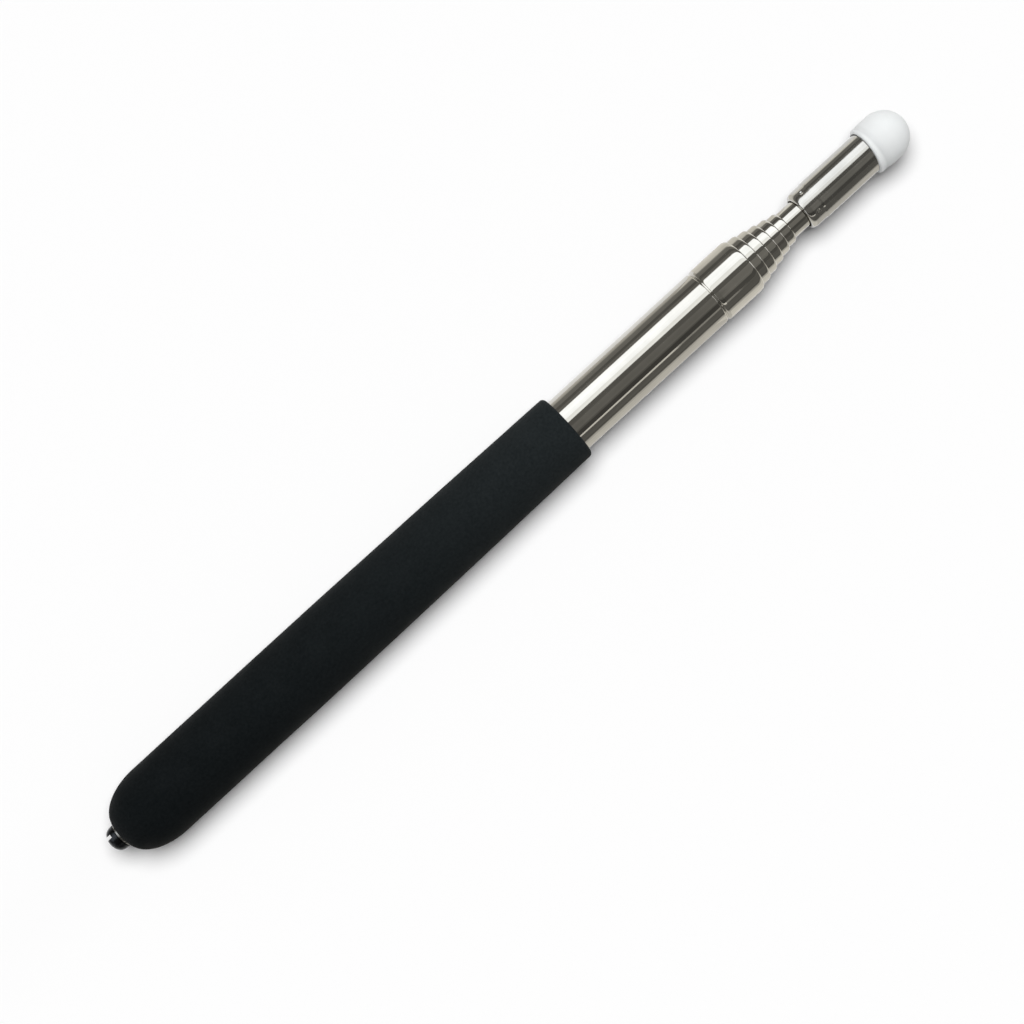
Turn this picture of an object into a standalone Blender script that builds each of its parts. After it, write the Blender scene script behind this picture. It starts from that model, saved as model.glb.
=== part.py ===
"""A telescopic hand pointer with a foam grip and a soft round tip, pushed together and lying on its grip.

The pointer lies along +X with its tip forward, and +Z is up. Its ground point is under the middle of its length,
on the surface that the grip lies on. Sizes are in metres. Along the pointer, places are counted from the flat seat
at the butt of the grip, and each section's own outline is counted from its own base.
"""

import math

import bpy

# Sections of the telescope
SECTIONS = 7
OUTER_TUBE_RADIUS = 0.0060
TUBE_WALL = 0.0002
TUBE_EXPOSED = 0.04675
RING_EXPOSED = 0.00216
SLIM_EXPOSED = 0.00395
LIP_CLEARANCE = 0.00007
MOUTH_ROLL = 0.0007
OUTER_MOUTH_ROLL = 0.00135

# Rolled groove of the outer tube, and the swollen end in front of it
GROOVE_FROM_MOUTH = 0.0097
GROOVE_REAR = 0.0003
GROOVE_FLOOR = 0.0002
GROOVE_FRONT = 0.0009
MOUTH_SWELL = 0.0001
MOUTH_BUSH_CLEARANCE = 0.00006

# Base of an inner section, with its split spring sleeve between a flare and a bead
FLARE_LENGTH = 0.0008
BEAD_LENGTH = 0.0008
BEAD_CLEARANCE = 0.0001
SLEEVE_LENGTH = 0.0070
SLEEVE_THICKNESS = 0.00014
SLEEVE_BOW = 0.00006
SLEEVE_SEAT_CLEARANCE = 0.00006
SLEEVE_RUN_CLEARANCE = 0.00004
SLEEVE_END_PLAY = 0.0002
SLEEVE_SLIT = 0.0012

# Foam grip
GRIP_LENGTH = 0.11655
GRIP_END_WALL = 0.0030
GRIP_REAR_WALL = 0.00184
GRIP_FRONT_WALL = 0.00120
GRIP_CLEARANCE = 0.00008
GRIP_DOME_LENGTH = 0.0096
GRIP_TAPER_START = 0.0450
GRIP_FRONT_ROUND = 0.0008
GRIP_SEAT_MARGIN = 0.0001
TAPER_POWER = 1.5

# Slotted end screw, its washer, and the plug that it is screwed into
SCREW_HEAD_RADIUS = 0.0026
SCREW_HEAD_HEIGHT = 0.0024
SCREW_HEAD_ROUND = 0.0019
SCREW_HEAD_CROWN = 0.00012
SCREW_SHANK_RADIUS = 0.0015
SCREW_HOLD = 0.0060
SCREW_CLEARANCE = 0.00008
SLOT_WIDTH = 0.0007
SLOT_DEPTH = 0.0015
SLOT_OFFSET = 0.0012
WASHER_THICKNESS = 0.0004
WASHER_MARGIN = 0.0001
PLUG_LENGTH = 0.0080
PLUG_FLANGE = 0.0010
PLUG_CHAMFER = 0.0004
PLUG_CLEARANCE = 0.00006

# Tip holder, the bush in its end, and the white cap on it
HOLDER_EXPOSED = 0.0179
HOLDER_WALL = 0.0004
HOLDER_EDGE = 0.0007
HOLDER_HOLE_CLEARANCE = 0.00025
CRIMP_START = 0.0014
CRIMP_LENGTH = 0.0024
CRIMP_DEPTH = 0.00007
CRIMP_RAMP = 0.0003
DIMPLES = 5
DIMPLE_FROM_END = 0.0022
DIMPLE_RADIUS = 0.0006
DIMPLE_DEPTH = 0.00014
DIMPLE_TURN = math.radians(41)
BUSH_WALL = 0.00077
BUSH_CLEARANCE = 0.00006
BUSH_LENGTH = 0.0090
BUSH_STOP = 0.0010
CAP_LENGTH = 0.0094
CAP_WALL = 0.00083
CAP_SEAT = 0.0046
CAP_CLEARANCE = 0.00006
CAP_DOME_LENGTH = 0.0051
CAP_LIP_LENGTH = 0.0009
CAP_LIP_STEP = 0.00018

# Gaps where one piece rests on another, and where a moving piece stops
SEAT_GAP = 0.0001
STOP_GAP = 0.0003

# Facets
TUBE_SEGMENTS = 24
GRIP_SEGMENTS = 28
TIP_SEGMENTS = 32
MOUTH_POINTS = 4
HEAD_POINTS = 5
EDGE_POINTS = 3
DOME_POINTS = 8
TAPER_POINTS = 3
SHARP_ANGLE = math.radians(35)
CUTTER_MARGIN = 0.001
MERGE = 0.000001

# What follows from those sizes
SLEEVE_ROOM = SLEEVE_SEAT_CLEARANCE + SLEEVE_BOW + SLEEVE_THICKNESS + SLEEVE_RUN_CLEARANCE
SECTION_STEP = TUBE_WALL + SLEEVE_ROOM
BEAD_HEIGHT = SLEEVE_ROOM - BEAD_CLEARANCE
SLEEVE_START = FLARE_LENGTH + SLEEVE_END_PLAY
BEAD_START = SLEEVE_START + SLEEVE_LENGTH + SLEEVE_END_PLAY
BASE_LENGTH = BEAD_START + BEAD_LENGTH

GRIP_BORE = OUTER_TUBE_RADIUS + GRIP_CLEARANCE
GRIP_RADIUS = GRIP_BORE + GRIP_REAR_WALL
GRIP_FRONT_RADIUS = GRIP_BORE + GRIP_FRONT_WALL
SCREW_HOLE = SCREW_SHANK_RADIUS + SCREW_CLEARANCE
WASHER_RADIUS = SCREW_HEAD_RADIUS - WASHER_MARGIN

PLUG_START = GRIP_END_WALL + SEAT_GAP
TUBE_START = PLUG_START + PLUG_FLANGE + SEAT_GAP
TUBE_MOUTH = GRIP_LENGTH + TUBE_EXPOSED
STAGE_START = TUBE_START + PLUG_LENGTH + STOP_GAP
HEAD_TOP = -2 * SEAT_GAP - WASHER_THICKNESS
HEAD_END = HEAD_TOP - SCREW_HEAD_HEIGHT


def section_radius(number):
    """Outer radius of a section, counted from 1 for the outer tube."""
    return OUTER_TUBE_RADIUS - (number - 1) * SECTION_STEP


def section_mouth(number):
    """Where the section's mouth stands along the pointer when it is pushed together."""
    return TUBE_MOUTH + (number - 1) * RING_EXPOSED


SLIM_RADIUS = section_radius(SECTIONS)
HOLDER_START = section_mouth(SECTIONS - 1) + SLIM_EXPOSED
BUSH_START = HOLDER_START + HOLDER_WALL + SEAT_GAP
SLIM_END = BUSH_START + BUSH_LENGTH - BUSH_STOP - SEAT_GAP
BUSH_BORE = SLIM_RADIUS + BUSH_CLEARANCE
BUSH_RADIUS = BUSH_BORE + BUSH_WALL
HOLDER_BORE = BUSH_RADIUS + BUSH_CLEARANCE
HOLDER_RADIUS = HOLDER_BORE + HOLDER_WALL
CAP_START = HOLDER_START + HOLDER_EXPOSED
CAP_BORE = HOLDER_RADIUS + CAP_CLEARANCE
CAP_RADIUS = CAP_BORE + CAP_WALL
HOLDER_LENGTH = HOLDER_EXPOSED + CAP_SEAT - SEAT_GAP
POINTER_END = CAP_START + CAP_LENGTH
POINTER_MIDDLE = (HEAD_END - SCREW_HEAD_CROWN + POINTER_END) / 2
AXIS_HEIGHT = GRIP_RADIUS * math.cos(math.pi / GRIP_SEGMENTS)


def section_travel(number):
    """How far a section slides out before its bead meets the groove or the rolled mouth outside it."""
    if number == 2:
        stop = TUBE_MOUTH - GROOVE_FROM_MOUTH - GROOVE_REAR
    else:
        stop = section_mouth(number - 1) - MOUTH_ROLL
    return stop - STAGE_START - BASE_LENGTH - STOP_GAP


def arc(centre, radii, start, end, steps):
    """Points (radius, height) of an ellipse's arc, with angles in degrees from straight outwards."""
    angles = [math.radians(start + (end - start) * i / steps) for i in range(steps + 1)]
    return [(centre[0] + radii[0] * math.cos(a), centre[1] + radii[1] * math.sin(a)) for a in angles]


def clear_scene():
    for item in list(bpy.data.objects):
        bpy.data.objects.remove(item, do_unlink=True)


def new_collection(name):
    collection = bpy.data.collections.new(name)
    bpy.context.scene.collection.children.link(collection)
    return collection


def new_material(name, colour, metallic, roughness):
    material = bpy.data.materials.new(name)
    material.use_nodes = True
    shader = material.node_tree.nodes["Principled BSDF"]
    shader.inputs["Base Color"].default_value = (*colour, 1.0)
    shader.inputs["Metallic"].default_value = metallic
    shader.inputs["Roughness"].default_value = roughness
    return material


def new_axis(name, parent, place):
    """An empty on the pointer's axis, which carries the pieces of one moving body."""
    empty = bpy.data.objects.new(name, None)
    empty.empty_display_size = OUTER_TUBE_RADIUS
    empty.location.z = place
    empty.parent = parent
    parts.objects.link(empty)
    return empty


def turned(name, outline, closed, segments, material, axis, place=0.0):
    """A turned piece: an outline of (radius, height) points, run down its outer side and spun by a Screw."""
    count = len(outline)
    edges = [(i, i + 1) for i in range(count - 1)]
    if closed:
        edges.append((count - 1, 0))
    profile_mesh = bpy.data.meshes.new(name + "_outline")
    profile_mesh.from_pydata([(r, 0.0, z) for r, z in outline], edges, [])
    profile = bpy.data.objects.new(name + "_outline", profile_mesh)
    parts.objects.link(profile)
    screw = profile.modifiers.new("Turn", "SCREW")
    screw.steps = segments
    screw.render_steps = segments
    screw.use_merge_vertices = True
    screw.merge_threshold = MERGE
    evaluated = profile.evaluated_get(bpy.context.evaluated_depsgraph_get())
    mesh = bpy.data.meshes.new_from_object(evaluated)
    mesh.name = name
    bpy.data.objects.remove(profile)
    bpy.data.meshes.remove(profile_mesh)
    mesh.shade_smooth()
    mesh.set_sharp_from_angle(angle=SHARP_ANGLE)
    mesh.materials.append(material)
    piece = bpy.data.objects.new(name, mesh)
    piece.parent = axis
    piece.location.z = place
    piece.rotation_euler.z = math.pi / segments
    parts.objects.link(piece)
    return piece


def cut(piece, cutter, axis):
    """Takes a cutter out of a piece with a Boolean, and puts the cutter away among the cutters."""
    for collection in list(cutter.users_collection):
        collection.objects.unlink(cutter)
    cutters.objects.link(cutter)
    cutter.parent = axis
    cutter.hide_render = True
    cutter.display_type = "WIRE"
    boolean = piece.modifiers.new("Cut", "BOOLEAN")
    boolean.operation = "DIFFERENCE"
    boolean.solver = "EXACT"
    boolean.object = cutter


def box_cutter(name, size, place, turn):
    """A box across the axis, turned about it. A turn of 0 lies upright."""
    bpy.ops.mesh.primitive_cube_add(size=1.0, location=place, rotation=(0.0, 0.0, turn))
    cutter = bpy.context.object
    cutter.name = name
    cutter.scale = size
    return cutter


def rolled_mouth(radius, lip_radius, mouth, roll):
    """The outer and inner arcs of a tube's end that is rolled in to a narrower lip."""
    steps = MOUTH_POINTS
    outer = arc((lip_radius, mouth - roll), (radius - lip_radius, roll), 90, 0, steps)
    inside = radius - TUBE_WALL
    inner = arc((lip_radius, mouth - roll), (inside - lip_radius, roll - TUBE_WALL), 0, 90, steps - 1)
    return outer, inner


def make_grip(axis):
    """The foam sleeve: a flat front, a slow taper, a straight rear half and a domed butt with a screw hole."""
    front_round = min(GRIP_FRONT_ROUND, 0.8 * GRIP_FRONT_WALL)
    seat_radius = WASHER_RADIUS + GRIP_SEAT_MARGIN
    taper_length = GRIP_LENGTH - front_round - GRIP_TAPER_START
    corner = (GRIP_FRONT_RADIUS - front_round, GRIP_LENGTH - front_round)
    outline = [(GRIP_BORE, GRIP_LENGTH)]
    outline += arc(corner, (front_round, front_round), 90, 0, EDGE_POINTS)
    for i in range(1, TAPER_POINTS + 1):
        along = 1 - i / TAPER_POINTS
        narrowing = (GRIP_RADIUS - GRIP_FRONT_RADIUS) * along**TAPER_POWER
        outline.append((GRIP_RADIUS - narrowing, GRIP_TAPER_START + along * taper_length))
    dome = (GRIP_RADIUS - seat_radius, GRIP_DOME_LENGTH)
    outline += arc((seat_radius, GRIP_DOME_LENGTH), dome, 0, -90, DOME_POINTS)
    outline += [(SCREW_HOLE, 0.0), (SCREW_HOLE, GRIP_END_WALL), (GRIP_BORE, GRIP_END_WALL)]
    turned("grip", outline, True, GRIP_SEGMENTS, foam, axis)


def make_end_screw(axis):
    """The slotted screw in the butt, its washer and the plug that it holds on to."""
    tip = TUBE_START + SCREW_HOLD
    side = SCREW_HEAD_RADIUS - SCREW_HEAD_ROUND
    outline = [(0.0, tip), (SCREW_SHANK_RADIUS, tip), (SCREW_SHANK_RADIUS, HEAD_TOP), (SCREW_HEAD_RADIUS, HEAD_TOP)]
    corner = (side, HEAD_END + SCREW_HEAD_ROUND)
    outline += arc(corner, (SCREW_HEAD_ROUND, SCREW_HEAD_ROUND), 0, -90, HEAD_POINTS)
    outline.append((0.0, HEAD_END - SCREW_HEAD_CROWN))
    screw = turned("end_screw", outline, False, TUBE_SEGMENTS, dark_steel, axis)
    size = (2 * SCREW_HEAD_RADIUS + CUTTER_MARGIN, SLOT_WIDTH, SLOT_DEPTH + CUTTER_MARGIN)
    place = (0.0, SLOT_OFFSET, HEAD_END + (SLOT_DEPTH - CUTTER_MARGIN) / 2)
    cut(screw, box_cutter("end_screw_slot", size, place, 0.0), axis)

    top = -SEAT_GAP
    bottom = top - WASHER_THICKNESS
    ring = [(SCREW_HOLE, top), (WASHER_RADIUS, top), (WASHER_RADIUS, bottom), (SCREW_HOLE, bottom)]
    turned("end_washer", ring, True, TUBE_SEGMENTS, plain_steel, axis)

    front = TUBE_START + PLUG_LENGTH
    spigot = OUTER_TUBE_RADIUS - TUBE_WALL - PLUG_CLEARANCE
    flange_top = PLUG_START + PLUG_FLANGE
    outline = [
        (SCREW_HOLE, front),
        (spigot - PLUG_CHAMFER, front),
        (spigot, front - PLUG_CHAMFER),
        (spigot, flange_top),
        (OUTER_TUBE_RADIUS, flange_top),
        (OUTER_TUBE_RADIUS, PLUG_START),
        (SCREW_HOLE, PLUG_START),
    ]
    turned("end_plug", outline, True, TUBE_SEGMENTS, brass, axis)


def make_outer_tube(axis):
    """The outer tube, with a rolled groove and a swollen, rolled-in mouth, and the guide bush between them."""
    inside = OUTER_TUBE_RADIUS - TUBE_WALL
    lip = section_radius(2) + LIP_CLEARANCE
    swollen = OUTER_TUBE_RADIUS + MOUTH_SWELL
    groove = TUBE_MOUTH - GROOVE_FROM_MOUTH
    waist = groove + GROOVE_FLOOR
    shoulder = waist + GROOVE_FRONT
    outer, inner = rolled_mouth(swollen, lip, TUBE_MOUTH, OUTER_MOUTH_ROLL)
    rise = swollen - lip - TUBE_WALL
    flank = arc((lip + TUBE_WALL, shoulder), (rise, GROOVE_FRONT), 0, -90, EDGE_POINTS)
    outline = outer + flank + [
        (lip + TUBE_WALL, groove),
        (OUTER_TUBE_RADIUS, groove - GROOVE_REAR),
        (OUTER_TUBE_RADIUS, TUBE_START),
        (inside, TUBE_START),
        (inside, groove - GROOVE_REAR),
        (lip, groove),
    ]
    outline += [(radius - TUBE_WALL, along) for radius, along in reversed(flank)]
    turned("outer_tube", outline + inner, True, TUBE_SEGMENTS, polished_steel, axis)

    bush_radius = swollen - TUBE_WALL - MOUTH_BUSH_CLEARANCE
    top = TUBE_MOUTH - OUTER_MOUTH_ROLL - SEAT_GAP
    bottom = shoulder + SEAT_GAP
    ring = [(lip, top), (bush_radius, top), (bush_radius, bottom), (lip, bottom)]
    turned("mouth_bush", ring, True, TUBE_SEGMENTS, brass, axis)


def stage_outline(number, length):
    """An inner section: a rolled or square mouth, a plain tube, and a bead and a flare round its base."""
    radius = section_radius(number)
    inside = radius - TUBE_WALL
    proud = radius + BEAD_HEIGHT
    ramp = BEAD_HEIGHT
    if number < SECTIONS:
        lip = section_radius(number + 1) + LIP_CLEARANCE
        outer, inner = rolled_mouth(radius, lip, length, MOUTH_ROLL)
    else:
        outer, inner = [(radius, length)], [(inside, length)]
    base = [
        (radius, BASE_LENGTH),
        (proud, BASE_LENGTH - ramp),
        (proud, BEAD_START),
        (radius, BEAD_START),
        (radius, FLARE_LENGTH),
        (proud, FLARE_LENGTH - ramp),
        (proud, 0.0),
        (inside + BEAD_HEIGHT, 0.0),
        (inside, FLARE_LENGTH),
    ]
    return outer + base + inner


def make_stage(number, slide_axis, turn_axis):
    """One inner section and the split, bowed sleeve that grips the tube outside it."""
    if number < SECTIONS:
        mouth = section_mouth(number)
    else:
        mouth = SLIM_END
    name = f"stage_{number}"
    outline = stage_outline(number, mouth - STAGE_START)
    turned(name + "_tube", outline, True, TUBE_SEGMENTS, polished_steel, turn_axis)

    seat = section_radius(number) + SLEEVE_SEAT_CLEARANCE
    skin = seat + SLEEVE_THICKNESS
    end = SLEEVE_START + SLEEVE_LENGTH
    middle = SLEEVE_START + SLEEVE_LENGTH / 2
    ring = [(skin, end), (skin + SLEEVE_BOW, middle), (skin, SLEEVE_START)]
    ring += [(seat, SLEEVE_START), (seat + SLEEVE_BOW, middle), (seat, end)]
    sleeve = turned(name + "_friction_sleeve", ring, True, TUBE_SEGMENTS, spring_bronze, slide_axis)
    size = (2 * SLEEVE_ROOM + CUTTER_MARGIN, SLEEVE_SLIT, SLEEVE_LENGTH + CUTTER_MARGIN)
    slit = box_cutter(name + "_sleeve_slit", size, (-seat, 0.0, middle), 0.0)
    cut(sleeve, slit, slide_axis)


def make_tip(axis):
    """The tip on the slim tube: a bush, the crimped holder round it and the soft cap over the holder's end."""
    base = STAGE_START
    stop_bore = SLIM_RADIUS - TUBE_WALL
    ring = [
        (stop_bore, BUSH_LENGTH),
        (BUSH_RADIUS, BUSH_LENGTH),
        (BUSH_RADIUS, 0.0),
        (BUSH_BORE, 0.0),
        (BUSH_BORE, BUSH_LENGTH - BUSH_STOP),
        (stop_bore, BUSH_LENGTH - BUSH_STOP),
    ]
    turned("tip_bush", ring, True, TUBE_SEGMENTS, brass, axis, BUSH_START - base)

    hole = SLIM_RADIUS + HOLDER_HOLE_CLEARANCE
    crimped = HOLDER_RADIUS - CRIMP_DEPTH
    crimp_end = CRIMP_START + CRIMP_LENGTH
    outline = [
        (HOLDER_RADIUS, HOLDER_LENGTH),
        (HOLDER_RADIUS, crimp_end + CRIMP_RAMP),
        (crimped, crimp_end),
        (crimped, CRIMP_START),
        (HOLDER_RADIUS, CRIMP_START - CRIMP_RAMP),
    ]
    corner = (HOLDER_RADIUS - HOLDER_EDGE, HOLDER_EDGE)
    outline += arc(corner, (HOLDER_EDGE, HOLDER_EDGE), 0, -90, EDGE_POINTS)
    outline += [(hole, 0.0), (hole, HOLDER_WALL), (HOLDER_BORE, HOLDER_WALL), (HOLDER_BORE, HOLDER_LENGTH)]
    holder = turned("tip_holder", outline, True, TIP_SEGMENTS, polished_steel, axis, HOLDER_START - base)
    for i in range(DIMPLES):
        turn = math.pi - DIMPLE_TURN - i * math.tau / DIMPLES
        reach = crimped + DIMPLE_RADIUS - DIMPLE_DEPTH
        place = (reach * math.cos(turn), reach * math.sin(turn), HOLDER_START + DIMPLE_FROM_END - base)
        bpy.ops.mesh.primitive_ico_sphere_add(subdivisions=2, radius=DIMPLE_RADIUS, location=place)
        bpy.context.object.name = f"tip_holder_dimple_{i + 1}"
        cut(holder, bpy.context.object, axis)

    body_start = CAP_LENGTH - CAP_DOME_LENGTH
    lip_radius = CAP_RADIUS - CAP_LIP_STEP
    outline = arc((0.0, body_start), (CAP_RADIUS, CAP_DOME_LENGTH), 90, 0, DOME_POINTS)
    outline[0] = (0.0, CAP_LENGTH)
    outline += [
        (CAP_RADIUS, body_start / 2),
        (lip_radius, CAP_LIP_LENGTH),
        (CAP_BORE, 0.0),
        (CAP_BORE, CAP_SEAT),
        (0.0, CAP_SEAT),
    ]
    turned("tip_cap", outline, False, TIP_SEGMENTS, white_rubber, axis, CAP_START - base)


clear_scene()
parts = new_collection("telescopic_pointer")
cutters = new_collection("cutters")

foam = new_material("black_foam", (0.010, 0.013, 0.015), 0.0, 0.9)
polished_steel = new_material("polished_steel", (0.62, 0.61, 0.57), 1.0, 0.12)
plain_steel = new_material("plain_steel", (0.50, 0.50, 0.48), 1.0, 0.3)
dark_steel = new_material("dark_steel", (0.05, 0.05, 0.05), 1.0, 0.35)
brass = new_material("brass", (0.70, 0.55, 0.28), 1.0, 0.3)
spring_bronze = new_material("spring_bronze", (0.62, 0.42, 0.25), 1.0, 0.3)
white_rubber = new_material("white_rubber", (0.84, 0.86, 0.87), 0.0, 0.5)

handle_axis = new_axis("handle_axis", None, 0.0)
handle_axis.location = (-POINTER_MIDDLE, 0.0, AXIS_HEIGHT)
handle_axis.rotation_euler = (0.0, math.pi / 2, 0.0)
make_grip(handle_axis)
make_end_screw(handle_axis)
make_outer_tube(handle_axis)

carrier = handle_axis
for section in range(2, SECTIONS + 1):
    rise = STAGE_START if section == 2 else 0.0
    slide = new_axis(f"stage_{section}_slide", carrier, rise)
    carrier = new_axis(f"stage_{section}_turn", slide, 0.0)
    make_stage(section, slide, carrier)
    print(f"section {section}: radius {section_radius(section):.5f}, travel {section_travel(section):.5f}")
make_tip(carrier)
print(f"pointer from {HEAD_END - POINTER_MIDDLE:.5f} to {POINTER_END - POINTER_MIDDLE:.5f}, axis {AXIS_HEIGHT:.5f}")
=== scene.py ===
# %% [markdown]
# # A telescopic hand pointer
# The object is a hand pointer pushed together: a black foam grip, seven polished tubes that slide out of
# each other, and a white rubber dome on the slimmest one. The CAD model gives every size and every moving
# body. It is loaded first as a fixed frame, and the lesson builds the finished surfaces around it.

# %% Load the frame
import math

import bmesh
import bpy
from mathutils import Matrix, Vector


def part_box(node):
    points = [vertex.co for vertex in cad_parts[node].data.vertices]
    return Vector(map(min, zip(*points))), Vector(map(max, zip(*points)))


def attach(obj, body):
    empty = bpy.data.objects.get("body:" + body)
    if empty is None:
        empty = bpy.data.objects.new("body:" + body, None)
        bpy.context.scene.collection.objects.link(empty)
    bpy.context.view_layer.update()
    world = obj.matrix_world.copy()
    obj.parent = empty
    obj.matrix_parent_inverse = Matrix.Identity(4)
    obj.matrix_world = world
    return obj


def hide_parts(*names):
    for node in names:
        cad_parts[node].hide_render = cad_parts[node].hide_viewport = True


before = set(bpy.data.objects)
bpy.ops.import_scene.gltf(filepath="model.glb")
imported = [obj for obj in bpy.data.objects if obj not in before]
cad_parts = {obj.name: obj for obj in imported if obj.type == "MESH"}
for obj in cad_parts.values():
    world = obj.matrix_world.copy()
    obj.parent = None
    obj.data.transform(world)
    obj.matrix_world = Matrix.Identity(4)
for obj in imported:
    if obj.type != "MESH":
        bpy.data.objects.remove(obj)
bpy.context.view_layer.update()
scene = bpy.context.scene
scene.view_settings.view_transform = "Standard"

# %% [markdown]
# Every piece of this pointer is round about one line, so places are given the way a turner reads a
# drawing: so far along the pointer, and so far out from its axis. Both are in millimetres. Along is
# counted from the flat seat at the butt of the grip, and the line itself is read from the CAD boxes, so
# nothing has to be fitted.

# %% The axis and the measuring line
MM = 0.001
SEAT_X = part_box("grip")[0].x
tube_low, tube_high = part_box("outer_tube")
AXIS_Z = (tube_low.z + tube_high.z) / 2


def at(along, out):
    """The point that far along and that far above the axis, in metres."""
    return Vector((SEAT_X + along * MM, 0.0, AXIS_Z + out * MM))


print(f"seat at x {SEAT_X / MM:.3f} mm, axis {AXIS_Z / MM:.3f} mm above the table")

# %% [markdown]
# The photo was taken from above, with the pointer lying across the picture. A camera can be aimed by a
# constraint, but one that looks straight down only has to be turned about its own line of sight to lay
# the pointer at that slant. It leans a little towards the tip, as the photo does. The distance and the
# lens together set how strongly the far ends lean away from the middle.

# %% Camera
SLANT = math.radians(42.52)
LEAN = math.radians(1.2)
AIM_ALONG = 97.26
AIM_ASIDE = -5.0
DISTANCE = 0.3398
LENS = 61.52
SENSOR_WIDTH = 36.0

lens_data = bpy.data.cameras.new("camera")
lens_data.sensor_width = SENSOR_WIDTH
lens_data.sensor_fit = "HORIZONTAL"
lens_data.lens = LENS
camera = bpy.data.objects.new("camera", lens_data)
aim = at(AIM_ALONG, 0.0) + Vector((0.0, AIM_ASIDE * MM, 0.0))
turn = Matrix.Rotation(-LEAN, 4, "Y") @ Matrix.Rotation(-SLANT, 4, "Z")
camera.matrix_world = Matrix.Translation(aim + turn @ Vector((0.0, 0.0, DISTANCE))) @ turn
scene.collection.objects.link(camera)
scene.camera = camera
print("camera at", [round(c, 4) for c in camera.location])

# %% [markdown]
# The table is a plain pale sheet with no edge in sight. More lamp light would make it white, but would
# also bleach the pointer. So its material adds a little light of its own, only for rays that come from
# the camera or from a mirror. It stays a real surface under the lamp, and keeps the pointer's shadow.

# %% Table
FLOOR_DROP = 0.00004
FLOOR_SIZE = 12.0
PAPER_WHITE = 0.93
PAPER_GLOW = 0.03


def put(tree, socket, value):
    """Sets a socket to a plain value, or links another node's output to it."""
    if isinstance(value, bpy.types.NodeSocket):
        tree.links.new(value, socket)
    else:
        socket.default_value = value


def math_node(tree, operation, first, second):
    node = tree.nodes.new("ShaderNodeMath")
    node.operation = operation
    put(tree, node.inputs[0], first)
    put(tree, node.inputs[1], second)
    return node.outputs[0]


def light_path_mask(tree):
    """1 for rays of the camera, mirrors and glass, and 0 for the rays that light the scene."""
    rays = tree.nodes.new("ShaderNodeLightPath").outputs
    seen = math_node(tree, "MAXIMUM", rays["Is Camera Ray"], rays["Is Glossy Ray"])
    return math_node(tree, "MAXIMUM", seen, rays["Is Transmission Ray"])


bpy.ops.object.select_all(action="DESELECT")
bpy.ops.mesh.primitive_plane_add(size=FLOOR_SIZE, location=(0.0, 0.0, -FLOOR_DROP))
table = bpy.context.object
table.name = "table"
paper = bpy.data.materials.new("table_paper")
paper.use_nodes = True
tree = paper.node_tree
shader = tree.nodes["Principled BSDF"]
shader.inputs["Base Color"].default_value = (PAPER_WHITE, PAPER_WHITE, PAPER_WHITE, 1.0)
shader.inputs["Roughness"].default_value = 1.0
shader.inputs["Specular IOR Level"].default_value = 0.0
shader.inputs["Emission Color"].default_value = (1.0, 1.0, 1.0, 1.0)
glow = math_node(tree, "MULTIPLY", light_path_mask(tree), PAPER_GLOW)
tree.links.new(glow, shader.inputs["Emission Strength"])
table.data.materials.append(paper)
print("table at z", -FLOOR_DROP)

# %% [markdown]
# The light is one large soft source, high up and towards the top of the picture. A far sun would throw
# the same shadow everywhere, but this shadow leans away from the lamp at both ends of the pointer, so the
# lamp is a big round one close by. Its size sets how quickly the shadow fades. A near lamp would leave
# the far corners of the table dim, so its nodes let the light grow with distance just enough to keep it
# even. A faint low light from beyond the tip keeps the end of the white cap bright, as a pale wall would.

# %% Lamps
LAMP_PLACE = Vector((0.047, 0.112, 0.623))
LAMP_RADIUS = 0.193
LAMP_POWER = 15.2
SIDE_LEVEL = 0.35
SIDE_HEIGHT = 5.0
SIDE_SPREAD = 25.0

lamp_data = bpy.data.lights.new("soft_light", "POINT")
lamp_data.energy = LAMP_POWER
lamp_data.shadow_soft_size = LAMP_RADIUS
lamp_data.use_nodes = True
tree = lamp_data.node_tree
even = tree.nodes.new("ShaderNodeLightFalloff")
even.inputs["Strength"].default_value = 1 / LAMP_PLACE.z**3
length = tree.nodes.new("ShaderNodeLightPath").outputs["Ray Length"]
grown = math_node(tree, "MULTIPLY", even.outputs["Constant"], length)
tree.links.new(grown, tree.nodes["Emission"].inputs["Strength"])
lamp = bpy.data.objects.new("soft_light", lamp_data)
lamp.location = LAMP_PLACE
lamp.visible_glossy = False
lamp.visible_camera = False
scene.collection.objects.link(lamp)

side_data = bpy.data.lights.new("low_side_light", "SUN")
side_data.energy = SIDE_LEVEL
side_data.angle = math.radians(SIDE_SPREAD)
side_light = bpy.data.objects.new("low_side_light", side_data)
side_light.rotation_euler = (0.0, math.radians(90 - SIDE_HEIGHT), 0.0)
side_light.visible_glossy = False
scene.collection.objects.link(side_light)
print(f"lamp level {lamp_data.energy:.2f}, side level {side_data.energy:.2f}")

# %% [markdown]
# The world is the room around the table. The camera and mirrors see it plain white, but it may give only
# a weak fill to what is lit, because more would take the shadow away. The mask that made the table glow
# tells these two kinds of ray apart here too.

# %% World
FILL_LEVEL = 0.05

world = bpy.data.worlds.new("white_room")
world.use_nodes = True
scene.world = world
tree = world.node_tree
background = tree.nodes["Background"]
background.inputs["Color"].default_value = (1.0, 1.0, 1.0, 1.0)
room_level = tree.nodes.new("ShaderNodeMapRange")
room_level.inputs["To Min"].default_value = FILL_LEVEL
room_level.inputs["To Max"].default_value = 1.0
tree.links.new(light_path_mask(tree), room_level.inputs["Value"])
tree.links.new(room_level.outputs["Result"], background.inputs["Strength"])
print(f"fill {FILL_LEVEL:.2f}")

# %% [markdown]
# A polished tube shows nothing but the room around it, so metal is photographed in a room of cards. A
# picture of a studio could stand round it instead, but plain cards are easy to move, and each one makes
# one band on the tube. A card is a strip along the pointer with a glow of its own. Only mirrors see it,
# so it lights nothing else.

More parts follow.
